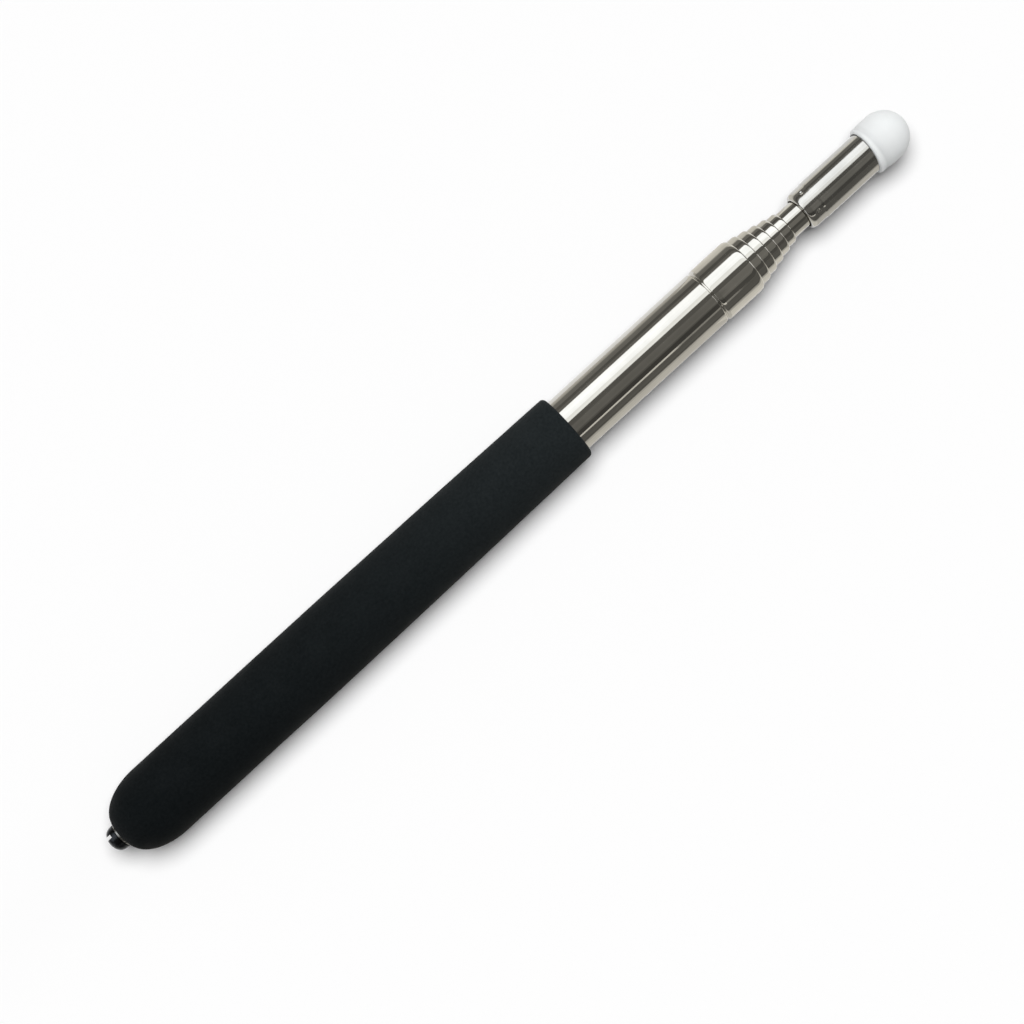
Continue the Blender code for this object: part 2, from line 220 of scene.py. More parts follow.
# %% How a card is made
FULL_SPAN = (-3.0, 3.0)
WHITE = (0.975, 1.0, 1.037)
CREAM = (0.985, 1.0, 1.0)
GREY = (1.0, 0.97, 0.90)


def card(name, low, high, level, colour, span):
    """A strip between two (across, up) edges, over a span along the pointer, in metres."""
    across = Vector((0.0, *high)) - Vector((0.0, *low))
    bpy.ops.object.select_all(action="DESELECT")
    bpy.ops.mesh.primitive_plane_add(size=1.0)
    strip = bpy.context.object
    strip.name = name
    strip.scale = (span[1] - span[0], across.length, 1.0)
    strip.rotation_euler.x = math.atan2(across.z, across.y)
    strip.location = (sum(span) / 2, (low[0] + high[0]) / 2, (low[1] + high[1]) / 2)
    strip.visible_camera = False
    strip.visible_diffuse = False
    strip.visible_transmission = False
    strip.visible_shadow = False
    paint = bpy.data.materials.new(name)
    paint.use_nodes = True
    nodes = paint.node_tree.nodes
    nodes.clear()
    emission = nodes.new("ShaderNodeEmission")
    emission.inputs["Color"].default_value = (*colour, 1.0)
    emission.inputs["Strength"].default_value = level
    out = nodes.new("ShaderNodeOutputMaterial")
    paint.node_tree.links.new(emission.outputs[0], out.inputs["Surface"])
    paint.cycles.emission_sampling = "NONE"
    strip.data.materials.append(paint)
    return strip


print("a card runs from", FULL_SPAN[0], "to", FULL_SPAN[1], "m along the pointer, unless it is cut")

# %% [markdown]
# A white card high on the left gives the broad highlight, and dark cards beside it give the bands that
# make a tube look round. Each is given by two angles from straight up, seen from the axis, with the right
# side positive. The white cards are a little cool and the grey ones warm, as the steel in the photo is.
# The dark cards are paler far ahead, where the slim tube and the holder find them, and the thin grey line
# on the right stops short of that.

# %% Standing cards
CARD_DISTANCE = 1.3
LINE_DISTANCE = 1.2
BEHIND = (-3.0, 0.30)
AHEAD = (0.30, 3.0)
LINE = (-3.0, 0.225)
FAINT_LINE = (0.225, 0.30)
# name, first and last angle, level, colour, distance, span
STANDING_CARDS = (
    ("white_card", -57.2, -23.0, 1.68, WHITE, CARD_DISTANCE, FULL_SPAN),
    ("white_card_edge", -23.0, -8.5, 1.33, CREAM, CARD_DISTANCE, FULL_SPAN),
    ("dark_card_top", -7.2, 10.0, 0.13, GREY, CARD_DISTANCE, FULL_SPAN),
    ("dark_card_middle", 10.0, 38.0, 0.17, GREY, CARD_DISTANCE, BEHIND),
    ("dark_card_fold", 38.0, 43.0, 0.125, GREY, CARD_DISTANCE, BEHIND),
    ("black_card_right", 43.0, 62.0, 0.066, GREY, CARD_DISTANCE, BEHIND),
    ("dark_card_middle_ahead", 10.0, 38.0, 0.215, GREY, CARD_DISTANCE, AHEAD),
    ("dark_card_fold_ahead", 38.0, 43.0, 0.20, GREY, CARD_DISTANCE, AHEAD),
    ("black_card_right_ahead", 43.0, 62.0, 0.095, GREY, CARD_DISTANCE, AHEAD),
    ("dark_card_low_right", 62.0, 93.0, 0.13, GREY, CARD_DISTANCE, FULL_SPAN),
    ("grey_line_right", 60.7, 67.2, 0.84, GREY, LINE_DISTANCE, LINE),
    ("faint_line_right", 60.7, 67.2, 0.32, GREY, LINE_DISTANCE, FAINT_LINE),
    ("dark_card_left", -70.0, -59.0, 0.17, GREY, CARD_DISTANCE, FULL_SPAN),
    ("black_card_left", -83.0, -70.0, 0.115, GREY, CARD_DISTANCE, FULL_SPAN),
    ("dark_card_low_left", -93.0, -83.0, 0.20, GREY, CARD_DISTANCE, FULL_SPAN),
)

for name, first, last, level, colour, distance, span in STANDING_CARDS:
    edges = []
    for degrees in (first, last):
        angle = math.radians(degrees)
        edges.append((-distance * math.sin(angle), AXIS_Z + distance * math.cos(angle)))
    card(name, *edges, level, colour, span)
print("standing cards:", len(STANDING_CARDS))

# %% [markdown]
# The lower half of a tube mirrors the table. Close to the pointer that is its own shadow, so strips flat
# on the table give each stretch its own greys: behind the mouth of the outer tube, beside the rings, and
# at the tip. A dark wall at either end darkens the rolled edges, so each ring stands out from the next.

# %% Strips on the table and end walls
STRIP_HEIGHT = 0.0005
FRONT_X = 0.0546
HOLDER_X = 0.0785
BACK = (FULL_SPAN[0], FRONT_X)
FRONT = (FRONT_X, HOLDER_X)
TIP = (HOLDER_X, FULL_SPAN[1])
WALL_ACROSS = (-0.2, 1.4)
WALL_HEIGHT = 1.5
WALL_LEVEL = 0.12
# name, span, edges across the table (the right of the pointer is negative), level of each strip
TABLE_BANDS = (
    ("right", FULL_SPAN, (-0.034, -0.052, -0.080, -1.35), (0.56, 0.40, 0.11)),
    ("near_right", BACK, (-0.0085, -0.034), (0.68,)),
    ("front_right", FRONT, (-0.0085, -0.034), (0.84,)),
    ("tip_right", TIP, (-0.0085, -0.034), (0.66,)),
    ("left", BACK, (0.0215, 0.029, 0.042, 0.060, 1.35), (0.64, 0.48, 0.32, 0.21)),
    ("front_left", FRONT, (0.0085, 0.0215, 0.032, 0.046, 0.064, 1.35), (0.86, 0.82, 0.70, 0.34, 0.21)),
    ("tip_left", TIP, (0.0215, 0.034, 0.048, 0.064, 1.35), (0.98, 0.82, 0.40, 0.21)),
)

for band, span, edges, levels in TABLE_BANDS:
    for number, level in enumerate(levels):
        near, far = (edges[number], STRIP_HEIGHT), (edges[number + 1], STRIP_HEIGHT)
        card(f"table_{band}_{number + 1}", near, far, level, GREY, span)
for name, x in (("dark_wall_ahead", FULL_SPAN[1]), ("dark_wall_behind", FULL_SPAN[0])):
    low, high = ((across, 0.0) for across in WALL_ACROSS)
    wall = card(name, low, high, WALL_LEVEL, GREY, (0.0, WALL_HEIGHT))
    wall.rotation_euler = (0.0, math.pi / 2, 0.0)
    wall.location = (x, sum(WALL_ACROSS) / 2, WALL_HEIGHT / 2)

# %% [markdown]
# Drawn tubes carry fine lines along their length from the die, and broader bands where the polish is
# uneven. A scratched picture could be wrapped round them, but noise that is stretched along the pointer
# has no seam and no end. Several metals use the effect, so it is one node group with its own inputs, and
# each metal places it with its own values.

# %% Effect: drawn lines
LINES_DETAIL = 1.0
BAND_SHARE = 0.22


def new_group(name, inputs, outputs):
    """An empty shader group that reads a place and the named values, and puts out masks."""
    group = bpy.data.node_groups.new(name, "ShaderNodeTree")
    group.interface.new_socket(name="Vector", in_out="INPUT", socket_type="NodeSocketVector")
    for title, value in inputs.items():
        socket = group.interface.new_socket(name=title, in_out="INPUT", socket_type="NodeSocketFloat")
        socket.default_value = value
    for title in outputs:
        group.interface.new_socket(name=title, in_out="OUTPUT", socket_type="NodeSocketFloat")
    return group, group.nodes.new("NodeGroupInput"), group.nodes.new("NodeGroupOutput")


def noise_node(tree, vector, scale, detail, roughness=0.5):
    node = tree.nodes.new("ShaderNodeTexNoise")
    node.inputs["Detail"].default_value = detail
    node.inputs["Roughness"].default_value = roughness
    tree.links.new(vector, node.inputs["Vector"])
    tree.links.new(scale, node.inputs["Scale"])
    return node.outputs["Fac"]


drawn_lines, start, end = new_group(
    "Drawn lines", {"Lines Per Metre": 2600.0, "Stretch": 0.012}, ["Lines", "Bands"]
)
squeeze = drawn_lines.nodes.new("ShaderNodeCombineXYZ")
squeeze.inputs["Y"].default_value = 1.0
squeeze.inputs["Z"].default_value = 1.0
drawn_lines.links.new(start.outputs["Stretch"], squeeze.inputs["X"])
stretched = drawn_lines.nodes.new("ShaderNodeVectorMath")
stretched.operation = "MULTIPLY"
drawn_lines.links.new(start.outputs["Vector"], stretched.inputs[0])
drawn_lines.links.new(squeeze.outputs[0], stretched.inputs[1])
fine = start.outputs["Lines Per Metre"]
wide = math_node(drawn_lines, "MULTIPLY", fine, BAND_SHARE)
for title, scale in (("Lines", fine), ("Bands", wide)):
    noise = noise_node(drawn_lines, stretched.outputs[0], scale, LINES_DETAIL)
    drawn_lines.links.new(noise, end.inputs[title])
print("effect:", drawn_lines.name, "with", len(drawn_lines.nodes), "nodes")

# %% [markdown]
# Handling leaves soft patches on metal, foam and rubber. Painted by hand they would belong to one piece
# only, so a cloudy noise makes them for all, and a smooth step gives each patch a soft edge.

# %% Effect: handling haze
HAZE_START = 0.35
HAZE_END = 0.7

haze, start, end = new_group("Handling haze", {"Patches Per Metre": 120.0}, ["Haze"])
patches = noise_node(
    haze, start.outputs["Vector"], start.outputs["Patches Per Metre"], detail=4.0, roughness=0.55
)
contrast = haze.nodes.new("ShaderNodeMapRange")
contrast.interpolation_type = "SMOOTHSTEP"
contrast.inputs["From Min"].default_value = HAZE_START
contrast.inputs["From Max"].default_value = HAZE_END
haze.links.new(patches, contrast.inputs["Value"])
haze.links.new(contrast.outputs["Result"], end.inputs["Haze"])
print("effect:", haze.name, "with", len(haze.nodes), "nodes")

# %% [markdown]
# Foam and rubber have a fine grain: lighter and darker specks, and the small pits of their cells. Pits
# that are modelled would take millions of faces, so noise gives the specks, and the distances in a cell
# pattern give the depth of the pits for a bump.

# %% Effect: fine grain
fine_grain, start, end = new_group("Fine grain", {"Grains Per Metre": 4000.0}, ["Grain", "Pits"])
grain = noise_node(
    fine_grain, start.outputs["Vector"], start.outputs["Grains Per Metre"], detail=2.0, roughness=0.6
)
pits = fine_grain.nodes.new("ShaderNodeTexVoronoi")
pits.feature = "SMOOTH_F1"
fine_grain.links.new(start.outputs["Vector"], pits.inputs["Vector"])
fine_grain.links.new(start.outputs["Grains Per Metre"], pits.inputs["Scale"])
fine_grain.links.new(grain, end.inputs["Grain"])
fine_grain.links.new(pits.outputs["Distance"], end.inputs["Pits"])
print("effect:", fine_grain.name, "with", len(fine_grain.nodes), "nodes")

# %% [markdown]
# A finish is a material made of nodes. It reads Object coordinates, so its pattern stays on the piece
# when the piece moves. Its colours started from the plain one in the record and were then set against
# the photo. Every finish needs the same few steps, so each step is a short helper: a new material, an
# effect placed in it, a mask carried over to values or to colours, and a bump. Numbers that are the same
# all over are set on the shader itself.

# %% Helpers for the finishes


def new_finish(name, **plain):
    """A material with its shader and object coordinates, and the values that are the same all over."""
    material = bpy.data.materials.new(name)
    material.use_nodes = True
    tree = material.node_tree
    shader = tree.nodes["Principled BSDF"]
    for title, value in plain.items():
        shader.inputs[title.replace("_", " ")].default_value = value
    place = tree.nodes.new("ShaderNodeTexCoord").outputs["Object"]
    return material, tree, shader, place


def use_group(tree, group, place, **values):
    node = tree.nodes.new("ShaderNodeGroup")
    node.node_tree = group
    tree.links.new(place, node.inputs["Vector"])
    for title, value in values.items():
        node.inputs[title.replace("_", " ")].default_value = value
    return node.outputs


def between(tree, mask, low, high, start=0.0, end=1.0):
    """Carries a mask that runs from start to end over to a range of values."""
    node = tree.nodes.new("ShaderNodeMapRange")
    node.inputs["From Min"].default_value = start
    node.inputs["From Max"].default_value = end
    node.inputs["To Min"].default_value = low
    node.inputs["To Max"].default_value = high
    tree.links.new(mask, node.inputs["Value"])
    return node.outputs["Result"]


def mix(tree, factor, first, second, blend="MIX"):
    node = tree.nodes.new("ShaderNodeMix")
    node.data_type = "RGBA"
    node.blend_type = blend
    put(tree, node.inputs["Factor"], factor)
    put(tree, node.inputs["A"], first)
    put(tree, node.inputs["B"], second)
    return node.outputs["Result"]


def tint(tree, mask, low, high):
    """Carries a mask from 0 to 1 over to a run between two colours."""
    return mix(tree, mask, (*low, 1.0), (*high, 1.0))


def raise_surface(tree, shader, height, strength, depth):
    bump = tree.nodes.new("ShaderNodeBump")
    bump.inputs["Strength"].default_value = strength
    bump.inputs["Distance"].default_value = depth
    tree.links.new(height, bump.inputs["Height"])
    tree.links.new(bump.outputs["Normal"], shader.inputs["Normal"])


# %% [markdown]
# Bright metal and white rubber on a white table throw light back onto it and would wash out their own
# shadow. Fewer bounces for the whole scene would dim the rest too, but Light Path counts the bounces of each
# ray, so only the light that these pieces throw back is dimmed. Where they are seen they keep their colour.

# %% Dimming in bounced light
BOUNCE_SHARE = 0.1


def dimmed(tree, colour):
    """The colour where a piece is seen, and less of it in the light that it throws back onto the table."""
    bounces = tree.nodes.new("ShaderNodeLightPath").outputs["Diffuse Depth"]
    scaled = tree.nodes.new("ShaderNodeVectorMath")
    scaled.operation = "SCALE"
    tree.links.new(colour, scaled.inputs[0])
    tree.links.new(between(tree, bounces, 1.0, BOUNCE_SHARE), scaled.inputs["Scale"])
    return scaled.outputs[0]


print("share left in bounced light:", BOUNCE_SHARE)

# %% [markdown]
# All the metal follows one recipe: lines along the pointer vary its colour and roughness, handling adds a
# little haze, and the lines raise a very low bump. A separate material for each would drift apart, so one
# function makes them from a few values. The tubes are bright drawn steel, the holder is coarser, the
# washer is dull, the screw is blackened, and the hidden pieces are brass and spring bronze.

# %% Metals
METAL_PATCHES = 180.0
LINES_SHARE = 0.42
TOUCH_SHARE = 0.16


def make_metal(name, dark, pale, rough, lines, stretch, depth):
    """A metal between two colours. rough is the range of roughness, depth the height of the lines."""
    material, tree, shader, place = new_finish(name, Metallic=1.0)
    drawn = use_group(tree, drawn_lines, place, Lines_Per_Metre=lines, Stretch=stretch)
    touched = use_group(tree, haze, place, Patches_Per_Metre=METAL_PATCHES)["Haze"]
    streaks = math_node(tree, "ADD", drawn["Lines"], drawn["Bands"])
    streaks = math_node(tree, "MULTIPLY", streaks, LINES_SHARE)
    streaks = math_node(tree, "ADD", streaks, math_node(tree, "MULTIPLY", touched, TOUCH_SHARE))
    colour = dimmed(tree, tint(tree, streaks, dark, pale))
    tree.links.new(colour, shader.inputs["Base Color"])
    mixed = math_node(tree, "MULTIPLY", math_node(tree, "ADD", drawn["Lines"], touched), 0.5)
    tree.links.new(between(tree, mixed, *rough), shader.inputs["Roughness"])
    raise_surface(tree, shader, drawn["Lines"], strength=1.0, depth=depth)
    return material


drawn_steel = make_metal(
    "drawn_steel", dark=(0.44, 0.43, 0.395), pale=(0.75, 0.73, 0.675),
    rough=(0.03, 0.08), lines=1250.0, stretch=0.012, depth=1e-5,
)
holder_steel = make_metal(
    "holder_steel", dark=(0.33, 0.326, 0.305), pale=(0.72, 0.707, 0.667),
    rough=(0.06, 0.14), lines=1500.0, stretch=0.02, depth=1e-5,
)
washer_steel = make_metal(
    "washer_steel", dark=(0.20, 0.20, 0.19), pale=(0.30, 0.30, 0.29),
    rough=(0.22, 0.38), lines=3000.0, stretch=0.3, depth=4e-6,
)
dark_steel = make_metal(
    "blackened_steel", dark=(0.014, 0.016, 0.018), pale=(0.036, 0.039, 0.043),
    rough=(0.2, 0.36), lines=3000.0, stretch=0.4, depth=4e-6,
)
brass = make_metal(
    "turned_brass", dark=(0.64, 0.48, 0.22), pale=(0.76, 0.60, 0.32),
    rough=(0.2, 0.36), lines=2400.0, stretch=6.0, depth=4e-6,
)
bronze = make_metal(
    "spring_bronze_strip", dark=(0.54, 0.35, 0.20), pale=(0.68, 0.47, 0.29),
    rough=(0.2, 0.36), lines=2600.0, stretch=0.05, depth=4e-6,
)
print("metals:", [m.name for m in (drawn_steel, holder_steel, washer_steel, dark_steel, brass, bronze)])

# %% [markdown]
# The grip is black closed-cell foam. It has hardly any gloss, and its cells show as a fine grain. Its
# black is painted paler towards the front and darker at the butt, as painted light that falls more on the
# front. One flat black would look like a hole in the picture, so the grain tints it between two blacks,
# and a run along the grip leads over to a paler pair, the painted light at the front.

# %% Black foam
GRIP_LENGTH = 116.55
FOAM_CELLS = 1800.0
FOAM_PATCHES = 160.0
FOAM_ROUGH = (0.72, 0.86)
FOAM_PIT_DEPTH = 4e-5
FADE_POWER = 2.0
# Painted light: the first pair is the black shaded at the butt, the second the black lit at the front.
SHADED_BUTT_BLACK = ((0.0012, 0.0021, 0.0024), (0.0081, 0.0098, 0.0106))
LIT_FRONT_BLACK = ((0.0076, 0.0102, 0.0109), (0.0226, 0.0268, 0.0284))


def run_along(tree, place, first, last):
    """A mask that runs from 0 to 1 between two places along the pointer."""
    split = tree.nodes.new("ShaderNodeSeparateXYZ")
    tree.links.new(place, split.inputs[0])
    return between(tree, split.outputs["X"], 0.0, 1.0, at(first, 0.0).x, at(last, 0.0).x)


black_foam, tree, shader, place = new_finish("black_foam", Specular_IOR_Level=0.09)
cells = use_group(tree, fine_grain, place, Grains_Per_Metre=FOAM_CELLS)
worn = use_group(tree, haze, place, Patches_Per_Metre=FOAM_PATCHES)["Haze"]
# Painted light along the grip: the black grows paler from the butt towards the front.
painted_light_run = math_node(tree, "POWER", run_along(tree, place, 0.0, GRIP_LENGTH), FADE_POWER)
shaded_butt = tint(tree, cells["Grain"], *SHADED_BUTT_BLACK)
paler = tint(tree, cells["Grain"], *LIT_FRONT_BLACK)
tree.links.new(mix(tree, painted_light_run, shaded_butt, paler), shader.inputs["Base Color"])
tree.links.new(between(tree, worn, *FOAM_ROUGH), shader.inputs["Roughness"])
raise_surface(tree, shader, cells["Pits"], strength=0.5, depth=FOAM_PIT_DEPTH)
print(black_foam.name, "with", len(tree.nodes), "nodes")

# %% [markdown]
# The cap is soft white rubber with a faint sheen. Light enters it a little way, so it gets a small share
# of subsurface scattering; a plain white would look like plaster. A soft grey line of painted shade
# follows the crease above the hem, darkening the white as if shade fell into it. It is a colour ramp
# along the pointer, so it goes all round.

# %% White rubber
CAP_START = 195.95
RUBBER_GRAINS = 3200.0
RUBBER_PATCHES = 220.0
RUBBER_ROUGH = (0.42, 0.62)
RUBBER_GRAIN_DEPTH = 1e-5
CLEAN_WHITE = (0.90, 0.922, 0.922)
HANDLED_WHITE = (0.88, 0.90, 0.90)
CREASE_SPAN = 4.0
# Painted shade at the crease: places along the ramp, and how much the white is darkened there.
PAINTED_CREASE_SHADES = ((0.08, 1.0), (0.17, 0.82), (0.25, 0.87), (0.5, 0.96))

white_rubber, tree, shader, place = new_finish(
    "white_rubber", Specular_IOR_Level=0.4,
    Subsurface_Weight=0.15, Subsurface_Scale=0.002, Subsurface_Radius=(1, 1, 1),
)
speckle = use_group(tree, fine_grain, place, Grains_Per_Metre=RUBBER_GRAINS)
smudge = use_group(tree, haze, place, Patches_Per_Metre=RUBBER_PATCHES)["Haze"]
# Painted shade: a ramp along the pointer darkens the white in a band by the crease, all round the cap.
crease = tree.nodes.new("ShaderNodeValToRGB")
crease.color_ramp.interpolation = "B_SPLINE"
tree.links.new(run_along(tree, place, CAP_START, CAP_START + CREASE_SPAN), crease.inputs[0])
for stop, shade in PAINTED_CREASE_SHADES:
    crease.color_ramp.elements.new(stop).color = (shade, shade, shade, 1.0)
crease.color_ramp.elements[0].color = (1.0, 1.0, 1.0, 1.0)
white = tint(tree, smudge, CLEAN_WHITE, HANDLED_WHITE)
white_with_painted_shade = mix(tree, 1.0, white, crease.outputs["Color"], "MULTIPLY")
tree.links.new(dimmed(tree, white_with_painted_shade), shader.inputs["Base Color"])
tree.links.new(between(tree, speckle["Grain"], *RUBBER_ROUGH), shader.inputs["Roughness"])
raise_surface(tree, shader, speckle["Grain"], strength=0.2, depth=RUBBER_GRAIN_DEPTH)
print(white_rubber.name, "with", len(tree.nodes), "nodes")

# %% [markdown]
# A lathe makes a round piece from half of its section, and Blender's Spin does the same. Stacked
# cylinders would leave steps, and scaled loops are hard to measure, but a half section is a drawing with
# real sizes. It is drawn as a chain of vertices, each extruded from the last. Corners are rounded with a
# vertex bevel, and the chain is spun about the axis. A long straight stretch gets a holding point near
# each end, so that smooth shading stays flat there.

# %% Draw half a section and spin it
ROUND_STEPS = 144
MERGE = 2e-7
PICK_REACH = 0.002
HOLD_GAP = 0.12
HOLD_FROM = 0.8


def arc(centre, radii, start, end, steps):
    """Points of an ellipse's arc as (along, out). An angle of 0 points outwards, and 90 along."""
    angles = [math.radians(start + (end - start) * i / steps) for i in range(steps + 1)]
    return [(centre[0] + radii[0] * math.sin(a), centre[1] + radii[1] * math.cos(a)) for a in angles]


def held(points):
    """Adds a holding point near both ends of each long stretch."""
    out = []
    for here, there in zip(points, points[1:] + points[:1]):
        out.append(here)
        run = math.dist(here, there)
        if run > HOLD_FROM:
            for part in (HOLD_GAP / run, 1 - HOLD_GAP / run):
                out.append(tuple(a + (b - a) * part for a, b in zip(here, there)))
    return out


def draw_outline(name, points, closed=True):
    """Draws a half section from (along, out) points and stays in edit mode with all of it selected."""
    chain = [at(*p) for p in points]
    if closed:
        chain.append(chain[0])
    bpy.ops.object.select_all(action="DESELECT")
    bpy.ops.mesh.primitive_plane_add(size=MM, location=(0.0, 0.0, 0.0))
    piece = bpy.context.object
    piece.name = piece.data.name = name
    bpy.ops.object.mode_set(mode="EDIT")
    bpy.ops.mesh.merge(type="CENTER")
    bpy.ops.transform.translate(value=chain[0])
    for here, there in zip(chain, chain[1:]):
        bpy.ops.mesh.extrude_vertices_move(TRANSFORM_OT_translate={"value": there - here})
    bpy.ops.mesh.select_all(action="SELECT")
    bpy.ops.mesh.remove_doubles(threshold=MERGE)
    return piece


def round_corners(piece, corners, radius, steps=4):
    """Selects the vertices at (along, out) corners of a drawn half section and rounds them."""
    bpy.ops.mesh.select_all(action="DESELECT")
    mesh = bmesh.from_edit_mesh(piece.data)
    places = [at(*c) for c in corners]
    for vertex in mesh.verts:
        vertex.select_set(any((vertex.co - p).length < PICK_REACH * MM for p in places))
    bmesh.update_edit_mesh(piece.data)
    bpy.ops.mesh.bevel(offset=radius * MM, segments=steps, affect="VERTICES")


def spin_round(piece, steps=ROUND_STEPS, smooth=40):
    """Spins the drawn half section about the axis, closes the seam and leaves edit mode."""
    bpy.ops.mesh.select_all(action="SELECT")
    bpy.ops.mesh.spin(steps=steps, angle=math.tau, center=(0.0, 0.0, AXIS_Z), axis=(1.0, 0.0, 0.0))
    bpy.ops.mesh.select_all(action="SELECT")
    bpy.ops.mesh.remove_doubles(threshold=MERGE)
    bpy.ops.mesh.normals_make_consistent(inside=False)
    bpy.ops.object.mode_set(mode="OBJECT")
    bpy.ops.object.shade_smooth_by_angle(angle=math.radians(smooth))
    print(f"{piece.name}: {len(piece.data.vertices)} vertices")


def finish_piece(piece, material, body, slot, *nodes):
    """Gives a piece its finish, the body it rides on and the CAD nodes that it stands for."""
    piece.data.materials.clear()
    piece.data.materials.append(material)
    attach(piece, body)
    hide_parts(*nodes)


print(f"one step of the spin turns {360 / ROUND_STEPS:.1f} degrees")

# %% [markdown]
# The outer tube is thin drawn steel. Near its mouth a wheel has rolled a narrow groove into it, which
# traps a guide bush and stops the next section, and the end in front of the groove is a touch wider. The
# mouth itself is rolled in to a lip. A Solidify modifier could give a single skin its thickness, but the
# groove and the lip are as thin as the wall, so the wall is drawn as a closed loop with both its sides.

# %% Outer tube
WALL = 0.2
LIP_GAP = 0.07
LIP_EDGE = 0.05
TUBE_START = 4.2
TUBE_MOUTH = 163.3
TUBE_RADIUS = 6.0
SWOLLEN_RADIUS = 6.1
GROOVE = 153.6
GROOVE_REAR = 0.3
GROOVE_REAR_EDGE = 0.12
GROOVE_FLOOR = 0.2
GROOVE_FLOOR_EDGE = 0.04
GROOVE_FRONT = 0.9
OUTER_ROLL = 1.35
OUTSIDE_STEPS = 9
INSIDE_STEPS = 7
SECTION_STEP = 0.5


def rolled_mouth(radius, lip, mouth, roll):
    """The outer and inner arcs of a tube's end that is rolled in to a narrower lip."""
    centre = (mouth - roll, lip)
    outer = arc(centre, (roll, radius - lip), 0, 90, OUTSIDE_STEPS)
    inner = arc(centre, (roll - WALL, radius - WALL - lip), 90, 0, INSIDE_STEPS)
    return outer, inner


lip = TUBE_RADIUS - SECTION_STEP + LIP_GAP
shoulder = GROOVE + GROOVE_FLOOR + GROOVE_FRONT
outer, inner = rolled_mouth(SWOLLEN_RADIUS, lip, TUBE_MOUTH, OUTER_ROLL)
rise = (GROOVE_FRONT, SWOLLEN_RADIUS - lip - WALL)
flank = arc((shoulder, lip + WALL), rise, -90, 0, OUTSIDE_STEPS)
groove_outside = [(GROOVE - GROOVE_REAR, TUBE_RADIUS), (GROOVE, lip + WALL)]
groove_inside = [(GROOVE, lip), (GROOVE - GROOVE_REAR, TUBE_RADIUS - WALL)]
points = [(TUBE_START, TUBE_RADIUS - WALL), (TUBE_START, TUBE_RADIUS)]
points += groove_outside + flank + outer + inner
points += [(along, out - WALL) for along, out in reversed(flank)] + groove_inside
outer_tube = draw_outline("drawn_outer_tube", held(points))
round_corners(outer_tube, [groove_outside[0], groove_inside[1]], GROOVE_REAR_EDGE)
round_corners(outer_tube, [groove_outside[1], flank[0]], GROOVE_FLOOR_EDGE, steps=2)
round_corners(outer_tube, [outer[-1], inner[0]], LIP_EDGE, steps=3)
spin_round(outer_tube)
finish_piece(outer_tube, drawn_steel, "handle", "polished_steel", "outer_tube")

# %% [markdown]
# The six inner sections are the same piece in falling sizes. A scaled copy would thin its wall and
# shorten its bead, so one function draws each from its own radius. Each has a flared base and a bead that
# hold a split spring sleeve between them, a long plain tube and a rolled-in mouth. The slimmest one ends
# square, because the tip holder hides its end.

# %% Inner sections
SECTIONS = 7
BASE = 12.5
FLARE = 0.8
BEAD_START = 8.2
BEAD_END = 9.0
BEAD_HEIGHT = 0.2
BEAD_EDGE = 0.07
RING_EXPOSED = 2.16
INNER_ROLL = 0.7
SLIM_END = 186.45


def make_section(number):
    radius = TUBE_RADIUS - (number - 1) * SECTION_STEP
    inside = radius - WALL
    proud = radius + BEAD_HEIGHT
    if number < SECTIONS:
        mouth = TUBE_MOUTH + (number - 1) * RING_EXPOSED
        outer, inner = rolled_mouth(radius, radius - SECTION_STEP + LIP_GAP, mouth, INNER_ROLL)
    else:
        outer, inner = [(SLIM_END, radius)], [(SLIM_END, inside)]
    flare = [(BASE, inside + BEAD_HEIGHT), (BASE, proud)]
    flare += [(BASE + FLARE - BEAD_HEIGHT, proud), (BASE + FLARE, radius)]
    bead = [(BASE + BEAD_START, radius), (BASE + BEAD_START, proud)]
    bead += [(BASE + BEAD_END - BEAD_HEIGHT, proud), (BASE + BEAD_END, radius)]
    points = [(BASE + FLARE, inside)] + flare + bead + outer + inner
    section = draw_outline(f"drawn_section_{number}", held(points))
    round_corners(section, flare[1:3] + bead[1:], BEAD_EDGE, steps=3)
    round_corners(section, [outer[-1], inner[0]], LIP_EDGE, steps=3)
    spin_round(section)
    finish_piece(section, drawn_steel, f"stage_{number}", "polished_steel", f"stage_{number}_tube")


for number in range(2, SECTIONS + 1):
    make_section(number)

# %% [markdown]
# The tip holder is a wider polished sleeve. Its lower end is turned in round the slim tube and pressed a
# little narrower, and five punched dimples hold it there. A Boolean would cut the dimples with sharp
# rims, but a punch draws the metal down round its point. So the narrow band has close rings of vertices,
# and each dimple is pushed in with proportional editing.

# %% Tip holder
HOLDER_START = 177.95
HOLDER_LENGTH = 22.5
HOLDER_RADIUS = 4.29
HOLDER_BORE = 3.89
HOLDER_HOLE = 3.25
HOLDER_HOLE_EDGE = 0.05
HOLDER_WALL = 0.4
HOLDER_STEPS = 256
TURNED_IN = (1.5, 0.85)
TURNED_IN_STEPS = 14
CRIMP_END = 3.5
CRIMP_RAMP = 0.35
CRIMP_EDGE = 0.08
CRIMPED_RADIUS = 4.19
CRIMP_RINGS = 0.1
DIMPLES = 5
DIMPLE_PLACE = 2.2
DIMPLE_FIRST = 41
DIMPLE_DEPTH = 0.17
DIMPLE_REACH = 0.56

